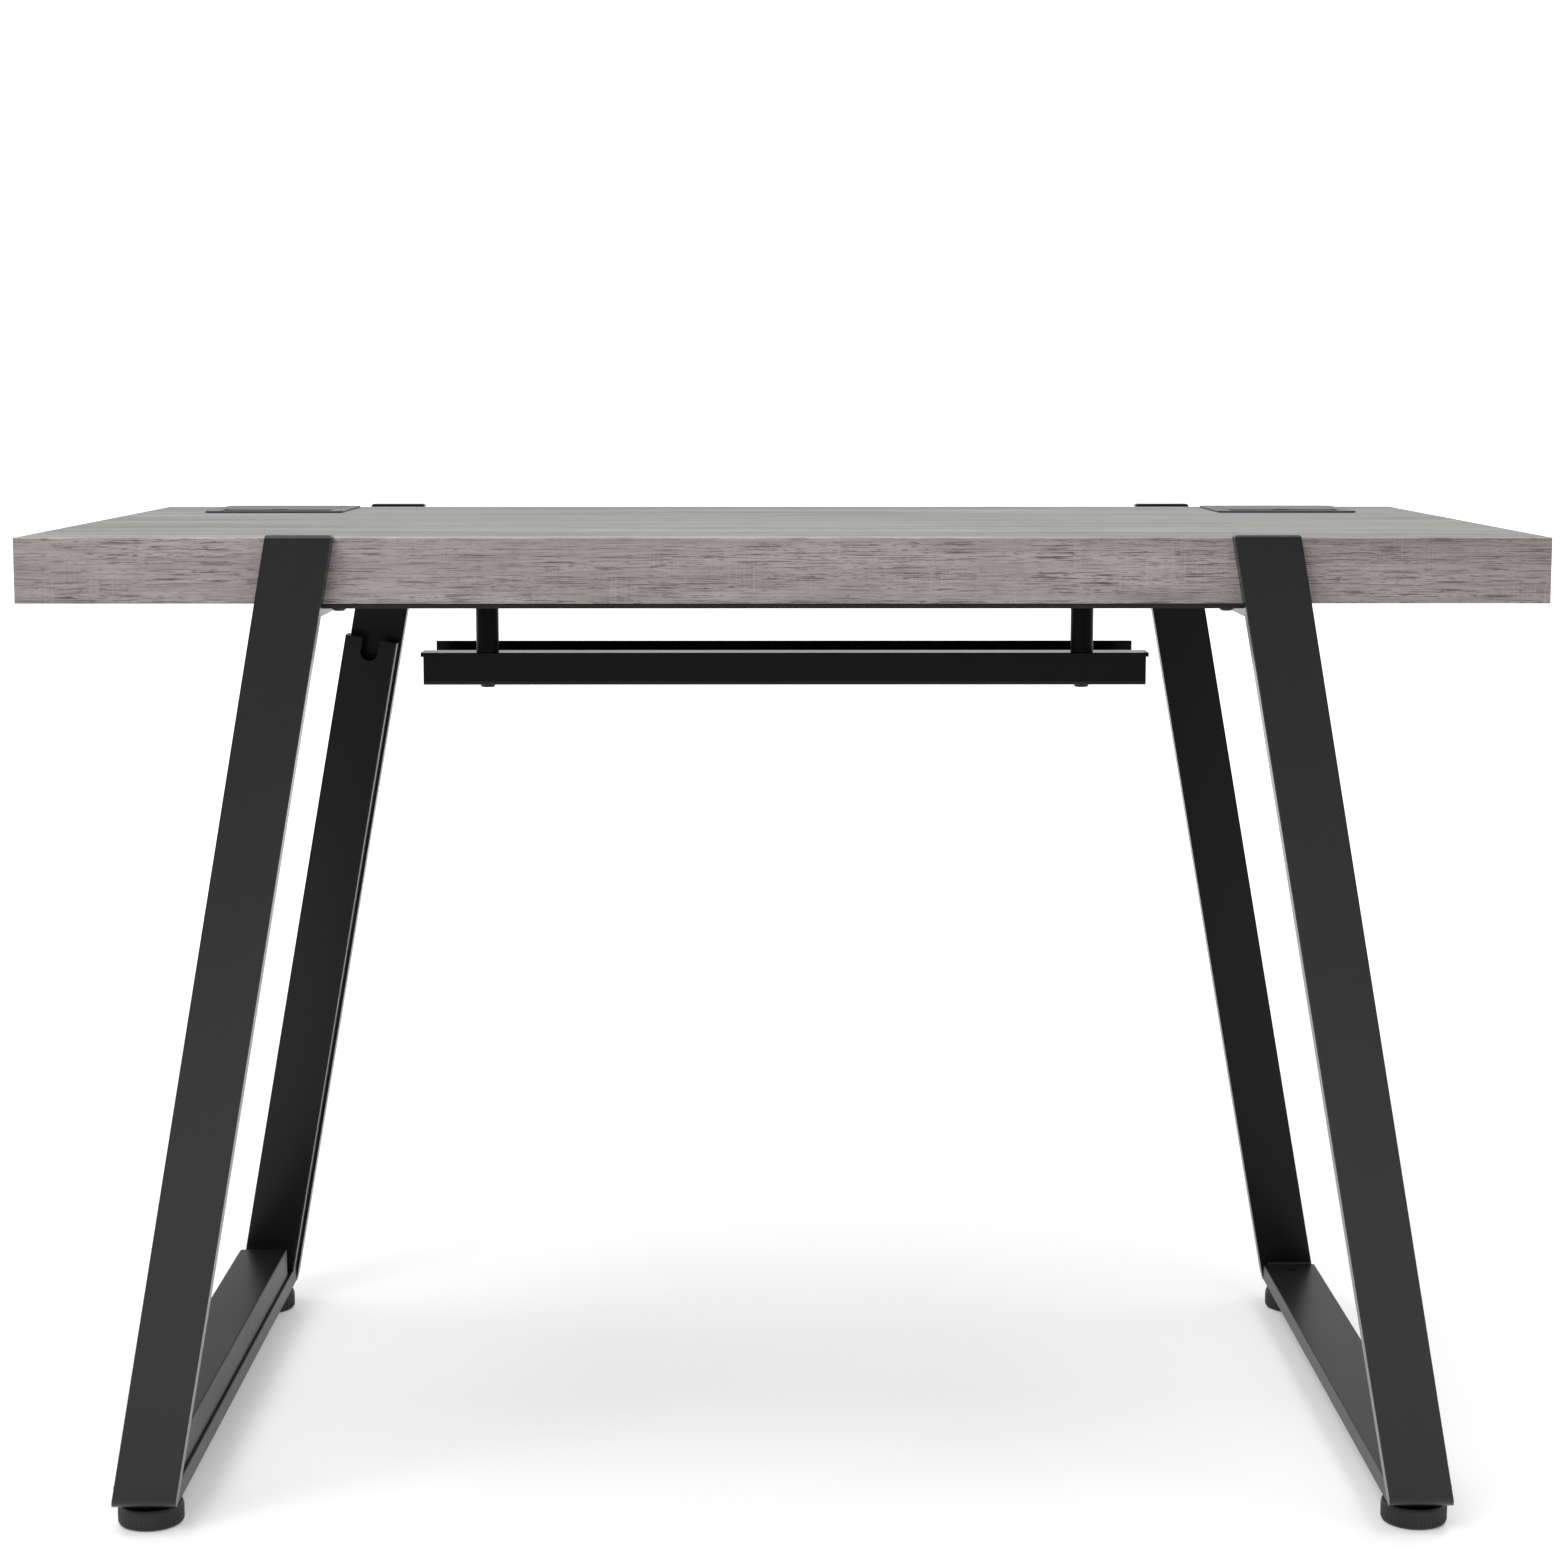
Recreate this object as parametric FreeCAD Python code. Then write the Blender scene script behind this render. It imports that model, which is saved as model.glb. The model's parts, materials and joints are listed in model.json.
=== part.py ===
"""Desk with a thick laminated top on two splayed flat-bar end frames and a hung cable tray.

Frame: +Z up from the floor, +X along the desk's length, -Y towards the person sitting.
Origin on the floor under the middle of the desk. Millimetres.
"""
import FreeCAD, Part
import math
import os

V = FreeCAD.Vector
os.makedirs("parts", exist_ok=True)

# --- overall sizes -----------------------------------------------------------
TOP_LENGTH = 1120.0
TOP_DEPTH = 600.0
DESK_HEIGHT = 750.0
TOP_THICK = 48.2

# --- laminated top -----------------------------------------------------------
LAMINATE = 1.0
BACKER = 0.8
BAND = 2.0
BAND_ARRIS = 1.2

# --- flat bar end frames -----------------------------------------------------
BAR_WIDTH = 48.5
BAR_THICK = 15.0
BAR_EDGE = 1.0
LEG_SLOPE = 0.1793
LEG_END_INSET = 185.0
BLADE_PROUD = 2.4
BLADE_CORNER = 2.0
BLADE_TOP_ROUND = 3.0
BLADE_FOOT_ROUND = 13.0
RUNNER_LIFT = 20.0
CROSS_WIDTH = 30.0
CROSS_THICK = 12.0
CROSS_INSET = 7.0

# --- rails under the front and rear edges ------------------------------------
RAIL_WIDTH = 40.0
RAIL_THICK = 3.6
RAIL_SETBACK = 1.0
RAIL_GAP = 6.0
RAIL_BOLT_END = 9.0

# --- fasteners ---------------------------------------------------------------
RAIL_BOLT = (3.0, 5.2, 3.3, 14.0)
CROSS_BOLT = (3.0, 5.2, 3.3, 22.0)
INSERT_WALL = 2.0
INSERT_LENGTH = 13.0
THREAD_GAP = 0.05
HOLE_GAP = 0.3

# --- glides ------------------------------------------------------------------
PAD_RADIUS = 25.0
PAD_HEIGHT = 17.0
PAD_FLOOR = 6.0
PAD_WALL = 11.0
BOSS_RADIUS = 12.0
BOSS_LENGTH = 12.0
STEM_RADIUS = 4.0
STEM_TOP_DROP = 2.0
GLIDE_END = 20.0

# --- cable tray --------------------------------------------------------------
TRAY_END_GAP = 33.6
TRAY_SHIFT = 2.5
TRAY_DEPTH = 104.0
TRAY_SHEET = 1.5
TRAY_DROP = 83.0
TRAY_FRONT_HEIGHT = 26.3
TRAY_REAR_HEIGHT = 27.9
LIP_DEPTH = 27.0
LIP_THICK = 3.3
LIP_OVERHANG = 1.0
LIP_END = 2.0
POST_RADIUS = 9.2
POST_END = 51.5
POST_SETBACK = 0.6
SPACER_RADIUS = 5.6
TRAY_BOLT = (3.0, 6.0, 2.2)

# --- cable ports -------------------------------------------------------------
PORT_WIDTH = 120.0
PORT_DEPTH = 128.0
PORT_LEG_GAP = 7.0
PORT_REAR_GAP = 18.0
PORT_FLANGE = 10.0
PORT_CORNER = 6.0
PORT_SEAT_GAP = 0.2
PORT_PROUD = 1.6
PORT_WALL = 2.0
PORT_FIT = 0.3
DOOR_THICK = 2.0
DOOR_GAP = 0.6
DOOR_SLOT = 22.0
DOOR_LEDGE = 3.0
PIN_RADIUS = 1.5
PIN_GAP = 0.05
KNUCKLE_RADIUS = 3.2
NOTCH_RADIUS = 9.0
BRISTLES = 38

# --- cable covers on the left end frame --------------------------------------
COVER_WALL = 2.0
COVER_WIDTH = 48.2
COVER_DEPTH = 22.0
COVER_OFFSET = 2.3
COVER_TOP_DROP = 120.0
COVER_FOOT_GAP = 1.0
ENTRY_WIDTH = 16.0
ENTRY_DEPTH = 20.0
RUNNER_COVER_RISE = 26.4
RUNNER_COVER_INSET = 2.5
RUNNER_COVER_END = 40.0
CLIP_SHEET = 1.0
CLIP_HEIGHT = 14.0
CLIP_REACH = 12.0
CLIP_GAP = 0.4
CLIP_SCREW = (1.5, 3.0, 1.8, 8.0)

# --- derived levels and positions --------------------------------------------
half_l = TOP_LENGTH / 2
half_d = TOP_DEPTH / 2
under = DESK_HEIGHT - TOP_THICK
runner_top = RUNNER_LIFT + BAR_THICK
leg_in_top = half_l - LEG_END_INSET - BAR_WIDTH
cross_in = leg_in_top + LEG_SLOPE * TOP_THICK + CROSS_INSET
rail_half = cross_in - RAIL_GAP
tray_half = leg_in_top - TRAY_END_GAP
tray_floor = under - TRAY_DROP
lip_top = tray_floor + TRAY_FRONT_HEIGHT
tray_front = -TRAY_DEPTH / 2
lip_front = tray_front - LIP_OVERHANG
post_x = tray_half - POST_END
post_y = lip_front + POST_SETBACK + POST_RADIUS
port_x0 = leg_in_top + BAR_WIDTH + PORT_LEG_GAP
port_x1 = port_x0 + PORT_WIDTH
port_y1 = half_d - PORT_REAR_GAP
port_y0 = port_y1 - PORT_DEPTH


def leg_inner(z):
    """Distance of a blade's inner edge from the desk's middle at height z."""
    return leg_in_top + LEG_SLOPE * (DESK_HEIGHT - z)


runner_in = leg_inner(RUNNER_LIFT)
glide_x = runner_in + BAR_WIDTH / 2
glide_y = half_d - GLIDE_END


def save(shape, name):
    shape.exportStep("parts/" + name + ".step")


def box(x0, x1, y0, y1, z0, z1):
    return Part.makeBox(x1 - x0, y1 - y0, z1 - z0, V(x0, y0, z0))


def post(r, x, y, z0, z1):
    return Part.makeCylinder(r, z1 - z0, V(x, y, z0), V(0, 0, 1))


def flip_x(shape):
    return shape.mirror(V(0, 0, 0), V(1, 0, 0))


def flip_y(shape):
    return shape.mirror(V(0, 0, 0), V(0, 1, 0))


def prism_xz(points, y0, y1):
    """Solid with the given outline in X and Z, from y0 to y1."""
    loop = [V(x, y0, z) for x, z in points]
    return Part.Face(Part.makePolygon(loop + loop[:1])).extrude(V(0, y1 - y0, 0))


def prism_yz(points, x0, x1):
    """Solid with the given outline in Y and Z, from x0 to x1."""
    loop = [V(x0, y, z) for y, z in points]
    return Part.Face(Part.makePolygon(loop + loop[:1])).extrude(V(x1 - x0, 0, 0))


def round_edges(shape, radius, wanted, along=None):
    """Fillet the edges (those along one direction, if given) whose ends pass wanted(point)."""
    picked = []
    for edge in shape.Edges:
        ends = [v.Point for v in edge.Vertexes]
        run = ends[-1] - ends[0]
        if along and (run.Length < 1e-4 or run.cross(along).Length > 1e-4):
            continue
        if all(wanted(p) for p in ends):
            picked.append(edge)
    return shape.makeFillet(radius, picked)


def near(a, b):
    return abs(a - b) < 1e-4


def hexagon(across_flats, x, y, z0, z1):
    r = across_flats / math.sqrt(3)
    loop = []
    for i in range(6):
        a = math.radians(60 * i + 30)
        loop.append(V(x + r * math.cos(a), y + r * math.sin(a), z0))
    return Part.Face(Part.makePolygon(loop + loop[:1])).extrude(V(0, 0, z1 - z0))


def button_bolt(size, x, y, seat):
    """Button-head bolt pointing up, its domed head hanging below the seat."""
    shank, head, rise, length = size
    dome = post(head, x, y, seat - rise, seat)
    dome = round_edges(dome, rise * 0.7, lambda p: near(p.z, seat - rise))
    dome = dome.cut(hexagon(shank * 1.3, x, y, seat - rise - 1, seat - rise * 0.35))
    return dome.fuse(post(shank, x, y, seat, seat + length))


def insert(shank, x, y, z0):
    tube = post(shank + INSERT_WALL, x, y, z0, z0 + INSERT_LENGTH)
    return tube.cut(post(shank + THREAD_GAP, x, y, z0 - 1, z0 + INSERT_LENGTH + 1))


def well(shank, tip, x, y):
    """Blind hole in the top for an insert and for the end of its bolt."""
    hole = post(shank + INSERT_WALL, x, y, under - 1, under + INSERT_LENGTH)
    return hole.fuse(post(shank + HOLE_GAP, x, y, under, tip + 2))


# --- fastener positions ------------------------------------------------------
rail_y = half_d - RAIL_SETBACK - RAIL_WIDTH / 2 - 4
rail_bolt_x = rail_half - RAIL_BOLT_END
rail_points = []
for side in (-1, 1):
    rail_points.append((-rail_bolt_x, side * rail_y))
    rail_points.append((rail_bolt_x, side * rail_y))

cross_x = cross_in + CROSS_WIDTH / 2
cross_points = []
for side in (-1, 1):
    for y in (-half_d + 80, 0, half_d - 80):
        cross_points.append((side * cross_x, y))

tray_points = [(TRAY_SHIFT - post_x, post_y), (TRAY_SHIFT + post_x, post_y)]
rail_seat = under - RAIL_THICK
rail_tip = rail_seat + RAIL_BOLT[3]
cross_seat = under - CROSS_THICK
cross_tip = cross_seat + CROSS_BOLT[3]
tray_bolt_length = under - tray_floor + INSERT_LENGTH - 1
tray_tip = tray_floor + tray_bolt_length

# --- laminated top -----------------------------------------------------------
core = box(-half_l + BAND, half_l - BAND, -half_d + BAND, half_d - BAND,
           under + BACKER, DESK_HEIGHT - LAMINATE)
sheet = box(-half_l + BAND, half_l - BAND, -half_d + BAND, half_d - BAND,
            DESK_HEIGHT - LAMINATE, DESK_HEIGHT)
backer = box(-half_l + BAND, half_l - BAND, -half_d + BAND, half_d - BAND,
             under, under + BACKER)
cutout = box(port_x0 + PORT_FLANGE, port_x1 - PORT_FLANGE,
             port_y0 + PORT_FLANGE, port_y1 - PORT_FLANGE, under - 1, DESK_HEIGHT + 1)
recess = box(port_x0 - PORT_SEAT_GAP, port_x1 + PORT_SEAT_GAP,
             port_y0 - PORT_SEAT_GAP, port_y1 + PORT_SEAT_GAP, under - 1, DESK_HEIGHT + 1)
recess = round_edges(recess, PORT_CORNER, lambda p: True, along=V(0, 0, 1))
holes = [cutout, flip_x(cutout)]
for x, y in rail_points:
    holes.append(well(RAIL_BOLT[0], rail_tip, x, y))
for x, y in cross_points:
    holes.append(well(CROSS_BOLT[0], cross_tip, x, y))
for x, y in tray_points:
    holes.append(well(TRAY_BOLT[0], tray_tip, x, y))
save(core.cut(holes), "top_core")
save(sheet.cut([recess, flip_x(recess)]), "top_laminate")
save(backer.cut(holes), "top_backer")

front_band = box(-half_l, half_l, -half_d, -half_d + BAND, under, DESK_HEIGHT)
front_band = round_edges(front_band, BAND_ARRIS,
                         lambda p: near(p.y, -half_d) and near(p.z, DESK_HEIGHT))
front_band = round_edges(front_band, BAND_ARRIS / 2,
                         lambda p: near(p.y, -half_d) and near(p.z, under))
save(front_band, "edge_band_front")
save(flip_y(front_band), "edge_band_rear")
end_band = box(half_l - BAND, half_l, -half_d + BAND, half_d - BAND, under, DESK_HEIGHT)
end_band = round_edges(end_band, BAND_ARRIS,
                       lambda p: near(p.x, half_l) and near(p.z, DESK_HEIGHT))
save(end_band, "edge_band_right")
save(flip_x(end_band), "edge_band_left")

# --- rails -------------------------------------------------------------------
rail_outer = half_d - RAIL_SETBACK
rail = box(-rail_half, rail_half, rail_outer - RAIL_WIDTH, rail_outer, rail_seat, under)
rail = round_edges(rail, 4.0, lambda p: p.y < rail_outer - 1, along=V(0, 0, 1))
for x, y in rail_points:
    rail = rail.cut(post(RAIL_BOLT[0] + HOLE_GAP, x, abs(y), rail_seat - 1, under + 1))
save(rail, "rail_rear")
save(flip_y(rail), "rail_front")

# --- end frames --------------------------------------------------------------
blade_top = DESK_HEIGHT + BLADE_PROUD
outline = [(leg_inner(RUNNER_LIFT), RUNNER_LIFT),
           (leg_inner(RUNNER_LIFT) + BAR_WIDTH, RUNNER_LIFT),
           (leg_inner(blade_top) + BAR_WIDTH, blade_top),
           (leg_inner(blade_top), blade_top)]
slab = prism_xz(outline, half_d, half_d + BAR_THICK)
slab = round_edges(slab, BLADE_CORNER, lambda p: near(p.z, blade_top)
                   and near(p.x, leg_inner(blade_top)))
slab = round_edges(slab, BLADE_CORNER, lambda p: near(p.z, blade_top)
                   and near(p.x, leg_inner(blade_top) + BAR_WIDTH))
slab = slab.makeFillet(BAR_EDGE, [e for e in slab.Edges if e.Length > DESK_HEIGHT / 2])
side = prism_yz([(half_d, RUNNER_LIFT), (half_d + BAR_THICK, RUNNER_LIFT),
                 (half_d + BAR_THICK, blade_top), (half_d, blade_top)],
                leg_in_top - BAR_WIDTH, leg_inner(0) + 2 * BAR_WIDTH)
side = round_edges(side, BLADE_FOOT_ROUND, lambda p: near(p.z, RUNNER_LIFT)
                   and near(p.y, half_d + BAR_THICK))
side = round_edges(side, BLADE_TOP_ROUND, lambda p: near(p.z, blade_top)
                   and near(p.y, half_d + BAR_THICK))
blade = slab.common(side)

cover_top = DESK_HEIGHT - COVER_TOP_DROP
cover_foot = runner_top + COVER_FOOT_GAP
clip_levels = [cover_foot + 40, (cover_foot + cover_top) / 2, cover_top - ENTRY_DEPTH - 40]


def cover_x(z):
    """Outward distance of the leg cover's middle line at height z."""
    return leg_inner(z) + COVER_OFFSET + COVER_WIDTH / 2


rear_left = flip_x(blade)
for z in clip_levels:
    hole = Part.makeCylinder(CLIP_SCREW[0] + THREAD_GAP, CLIP_SCREW[3] + 1,
                             V(-cover_x(z), half_d - 0.5, z), V(0, 1, 0))
    rear_left = rear_left.cut(hole)
save(blade, "blade_rear_right")
save(flip_y(blade), "blade_front_right")
save(rear_left, "blade_rear_left")
save(flip_x(flip_y(blade)), "blade_front_left")

runner = box(runner_in, runner_in + BAR_WIDTH, -half_d, half_d, RUNNER_LIFT, runner_top)
runner = runner.makeFillet(BAR_EDGE, [e for e in runner.Edges if e.Length > half_d])
for y in (-glide_y, glide_y):
    runner = runner.cut(post(STEM_RADIUS + THREAD_GAP, glide_x, y, 0, runner_top + 1))
runner_clips = [-half_d + RUNNER_COVER_END + 40, half_d - RUNNER_COVER_END - 40]
left_runner = flip_x(runner)
for y in runner_clips:
    left_runner = left_runner.cut(post(CLIP_SCREW[0] + THREAD_GAP, -glide_x, y,
                                       runner_top - CLIP_SCREW[3] - 1, runner_top + 1))
save(runner, "runner_right")
save(left_runner, "runner_left")

cross = box(cross_in, cross_in + CROSS_WIDTH, -half_d, half_d, cross_seat, under)
for x, y in cross_points:
    if x > 0:
        cross = cross.cut(post(CROSS_BOLT[0] + HOLE_GAP, x, y, cross_seat - 1, under + 1))
save(cross, "crossbar_right")
save(flip_x(cross), "crossbar_left")

# --- grouped fasteners -------------------------------------------------------
save(Part.makeCompound([button_bolt(RAIL_BOLT, x, y, rail_seat) for x, y in rail_points]),
     "rail_bolts")
save(Part.makeCompound([button_bolt(CROSS_BOLT, x, y, cross_seat)
                        for x, y in cross_points]), "crossbar_bolts")
all_wells = []
for x, y in rail_points + cross_points + tray_points:
    all_wells.append(insert(RAIL_BOLT[0], x, y, under))
save(Part.makeCompound(all_wells), "threaded_inserts")

# --- glides ------------------------------------------------------------------
boss_bottom = RUNNER_LIFT - BOSS_LENGTH
bosses = []
for sx in (-1, 1):
    for sy in (-1, 1):
        tube = post(BOSS_RADIUS, sx * glide_x, sy * glide_y, boss_bottom, RUNNER_LIFT)
        tube = tube.cut(post(STEM_RADIUS + THREAD_GAP, sx * glide_x, sy * glide_y,
                             boss_bottom - 1, RUNNER_LIFT + 1))
        bosses.append(tube)
save(Part.makeCompound(bosses), "glide_bosses")

stem_top = runner_top - STEM_TOP_DROP
flange_top = boss_bottom - 2 * CLIP_GAP
for sx, xn in ((-1, "left"), (1, "right")):
    for sy, yn in ((-1, "front"), (1, "rear")):
        x = sx * glide_x
        y = sy * glide_y
        pad = post(PAD_RADIUS, x, y, 0, PAD_HEIGHT)
        pad = round_edges(pad, 1.5, lambda p: near(p.z, PAD_HEIGHT))
        pad = round_edges(pad, 2.0, lambda p: near(p.z, 0))
        pad = pad.cut(post(PAD_RADIUS - PAD_WALL, x, y, PAD_FLOOR, PAD_HEIGHT + 1))
        save(pad, "glide_pad_" + yn + "_" + xn)
        stem = post(STEM_RADIUS, x, y, PAD_FLOOR, stem_top)
        stem = round_edges(stem, 1.0, lambda p: near(p.z, stem_top))
        stem = stem.fuse(hexagon(2.2 * STEM_RADIUS * 1.6, x, y, PAD_FLOOR, flange_top))
        save(stem, "glide_stem_" + yn + "_" + xn)

# --- cable tray --------------------------------------------------------------
lip_bottom = lip_top - LIP_THICK
rear_top = tray_floor + TRAY_REAR_HEIGHT
tray_rear = tray_front + TRAY_DEPTH
section = [(tray_front, lip_bottom), (tray_front, tray_floor), (tray_rear, tray_floor),
           (tray_rear, rear_top), (tray_rear - TRAY_SHEET, rear_top),
           (tray_rear - TRAY_SHEET, tray_floor + TRAY_SHEET),
           (tray_front + TRAY_SHEET, tray_floor + TRAY_SHEET),
           (tray_front + TRAY_SHEET, lip_bottom)]
trough = prism_yz(section, TRAY_SHIFT - tray_half, TRAY_SHIFT + tray_half)
trough = round_edges(trough, 2 * TRAY_SHEET, lambda p: near(p.z, tray_floor), V(1, 0, 0))
trough = round_edges(trough, TRAY_SHEET, lambda p: near(p.z, tray_floor + TRAY_SHEET),
                     V(1, 0, 0))
lip_half = tray_half + LIP_END
lip = box(TRAY_SHIFT - lip_half, TRAY_SHIFT + lip_half, lip_front, lip_front + LIP_DEPTH,
          lip_bottom, lip_top)
lip = round_edges(lip, 0.6, lambda p: near(p.y, lip_front) and near(p.z, lip_top))
posts = []
spacers = []
bolts = []
for x, y in tray_points:
    bore = post(TRAY_BOLT[0] + HOLE_GAP, x, y, tray_floor - 1, under + 1)
    trough = trough.cut(bore)
    lip = lip.cut(bore)
    posts.append(post(POST_RADIUS, x, y, lip_top, under).cut(bore))
    spacers.append(post(SPACER_RADIUS, x, y, tray_floor + TRAY_SHEET, lip_bottom).cut(bore))
    size = TRAY_BOLT + (tray_bolt_length,)
    bolts.append(button_bolt(size, x, y, tray_floor))
save(trough, "tray_trough")
save(lip, "tray_lip")
save(Part.makeCompound(posts), "tray_posts")
save(Part.makeCompound(spacers), "tray_spacers")
save(Part.makeCompound(bolts), "tray_bolts")

# --- cable ports, drawn on the right and mirrored to the left ----------------
port_top = DESK_HEIGHT + PORT_PROUD
tub_x0 = port_x0 + PORT_FLANGE + PORT_FIT
tub_x1 = port_x1 - PORT_FLANGE - PORT_FIT
tub_y0 = port_y0 + PORT_FLANGE + PORT_FIT
tub_y1 = port_y1 - PORT_FLANGE - PORT_FIT
in_x0 = tub_x0 + PORT_WALL
in_x1 = tub_x1 - PORT_WALL
in_y0 = tub_y0 + PORT_WALL
in_y1 = tub_y1 - PORT_WALL
pin_y = in_y1 - KNUCKLE_RADIUS - 0.8
pin_z = port_top - KNUCKLE_RADIUS
door_bottom = port_top - DOOR_THICK
door_y0 = in_y0 + DOOR_SLOT

core_top = DESK_HEIGHT - LAMINATE
bezel = box(port_x0, port_x1, port_y0, port_y1, core_top, port_top)
bezel = round_edges(bezel, PORT_CORNER, lambda p: True, along=V(0, 0, 1))
bezel = bezel.makeChamfer(0.5, [e for e in bezel.Edges
                                if all(near(v.Point.z, port_top) for v in e.Vertexes)])
frame = bezel.fuse(box(tub_x0, tub_x1, tub_y0, tub_y1, under, core_top))
frame = frame.cut(box(in_x0, in_x1, in_y0, in_y1, under - 1, port_top + 1))
ledge_top = door_bottom - PORT_FIT
for x in (in_x0, in_x1 - DOOR_LEDGE):
    frame = frame.fuse(box(x, x + DOOR_LEDGE, door_y0, pin_y - 2 * KNUCKLE_RADIUS,
                           ledge_top - 3, ledge_top))
pin_hole = Part.makeCylinder(PIN_RADIUS + 0.02, in_x1 - in_x0 + 2 * PORT_WALL + 2,
                             V(tub_x0 - 1, pin_y, pin_z), V(1, 0, 0))
frame = frame.cut(pin_hole)

door = box(in_x0 + DOOR_GAP, in_x1 - DOOR_GAP, door_y0, pin_y, door_bottom, port_top)
door = round_edges(door, 5.0, lambda p: near(p.y, door_y0), along=V(0, 0, 1))
mid_x = (in_x0 + in_x1) / 2
door = door.cut(post(NOTCH_RADIUS, mid_x, door_y0 - 2, door_bottom - 1, port_top + 1))
rib = box(in_x0 + 12, in_x1 - 12, door_y0 + 24, door_y0 + 26, door_bottom - 3, door_bottom)
door = door.fuse(rib)
knuckle = Part.makeCylinder(KNUCKLE_RADIUS, in_x1 - in_x0 - 2 * DOOR_GAP,
                            V(in_x0 + DOOR_GAP, pin_y, pin_z), V(1, 0, 0))
door = door.fuse(knuckle)
door = door.cut(Part.makeCylinder(PIN_RADIUS + PIN_GAP, in_x1 - in_x0,
                                  V(in_x0, pin_y, pin_z), V(1, 0, 0)))

pin = Part.makeCylinder(PIN_RADIUS, tub_x1 - tub_x0, V(tub_x0, pin_y, pin_z), V(1, 0, 0))

holder = box(in_x0, in_x1, in_y0, in_y0 + 4, DESK_HEIGHT - 8, DESK_HEIGHT - 1)
tufts = []
tuft_step = (in_x1 - in_x0 - 2) / BRISTLES
for i in range(BRISTLES):
    x = in_x0 + 1 + (i + 0.5) * tuft_step
    tufts.append(box(x - tuft_step * 0.4, x + tuft_step * 0.4, in_y0 + 3, door_y0 - 1,
                     DESK_HEIGHT - 4.5, DESK_HEIGHT - 3.5))
brush = holder.fuse(tufts)

for shape, name in ((frame, "port_frame"), (door, "port_door"), (pin, "port_pin"),
                    (brush, "port_brush")):
    save(shape, name + "_right")
    save(flip_x(shape), name + "_left")

# --- leg cover ---------------------------------------------------------------


def leaning(a, b, z0, z1, y0, y1):
    """Prism leaning with the left leg, a to b outward of the blade's inner edge."""
    pts = [(-leg_inner(z0) - a, z0), (-leg_inner(z0) - b, z0),
           (-leg_inner(z1) - b, z1), (-leg_inner(z1) - a, z1)]
    return prism_xz(pts, y0, y1)


cover_front = half_d - COVER_DEPTH
cover_in = COVER_OFFSET
cover_out = COVER_OFFSET + COVER_WIDTH
cover_tilt = LEG_SLOPE * COVER_WIDTH / 2
outline = [(-leg_inner(cover_foot) - cover_in, cover_foot),
           (-leg_inner(cover_foot) - cover_out, cover_foot),
           (-leg_inner(cover_top + cover_tilt) - cover_out, cover_top + cover_tilt),
           (-leg_inner(cover_top - cover_tilt) - cover_in, cover_top - cover_tilt)]
cover = prism_xz(outline, cover_front, half_d - CLIP_GAP)
cover = cover.makeFillet(1.5, [e for e in cover.Edges if e.Length > DESK_HEIGHT / 2
                               and near(e.Vertexes[0].Point.y, cover_front)])
cover = cover.cut(leaning(cover_in + COVER_WALL, cover_out - COVER_WALL, cover_foot - 1,
                          cover_top + COVER_WIDTH, cover_front + COVER_WALL, half_d))
entry_mid = COVER_OFFSET + COVER_WIDTH / 2
entry_z = cover_top - ENTRY_DEPTH + ENTRY_WIDTH / 2
entry = leaning(entry_mid - ENTRY_WIDTH / 2, entry_mid + ENTRY_WIDTH / 2, entry_z,
                cover_top + COVER_WIDTH, cover_front - 1, cover_front + COVER_WALL + 1)
entry_end = Part.makeCylinder(ENTRY_WIDTH / 2, COVER_WALL + 2,
                              V(-leg_inner(entry_z) - entry_mid, cover_front - 1, entry_z),
                              V(0, 1, 0))
cover = cover.cut([entry, entry_end])
save(cover, "leg_cover")

clips = []
screws = []
arm_in = cover_in + COVER_WALL + CLIP_GAP
arm_out = cover_out - COVER_WALL - CLIP_GAP
for z in clip_levels:
    z0 = z - CLIP_HEIGHT / 2
    z1 = z + CLIP_HEIGHT / 2
    clip = leaning(arm_in, arm_out, z0, z1, half_d - CLIP_REACH, half_d)
    clip = clip.cut(leaning(arm_in + CLIP_SHEET, arm_out - CLIP_SHEET, z0 - 1, z1 + 1,
                            half_d - CLIP_REACH - 1, half_d - CLIP_SHEET))
    spot = V(-cover_x(z), half_d, z)
    clip = clip.cut(Part.makeCylinder(CLIP_SCREW[0] + HOLE_GAP, 4, spot - V(0, 2, 0),
                                      V(0, 1, 0)))
    clips.append(clip)
    head = Part.makeCylinder(CLIP_SCREW[1], CLIP_SCREW[2],
                             spot - V(0, CLIP_SHEET + CLIP_SCREW[2], 0), V(0, 1, 0))
    shank = Part.makeCylinder(CLIP_SCREW[0], CLIP_SCREW[3] + CLIP_SHEET,
                              spot - V(0, CLIP_SHEET, 0), V(0, 1, 0))
    screws.append(head.fuse(shank))
save(Part.makeCompound(clips), "leg_cover_clips")

# --- runner cover ------------------------------------------------------------
shell_in = runner_in + RUNNER_COVER_INSET
shell_out = runner_in + BAR_WIDTH - RUNNER_COVER_INSET
shell_y = half_d - RUNNER_COVER_END
shell_top = runner_top + RUNNER_COVER_RISE
shell = box(-shell_out, -shell_in, -shell_y, shell_y, runner_top + CLIP_GAP, shell_top)
shell = shell.makeFillet(1.5, [e for e in shell.Edges if e.Length > shell_y
                               and near(e.Vertexes[0].Point.z, shell_top)])
shell = shell.cut(box(-shell_out + COVER_WALL, -shell_in - COVER_WALL, -shell_y - 1,
                      shell_y + 1, 0, shell_top - COVER_WALL))
save(shell, "runner_cover")

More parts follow.
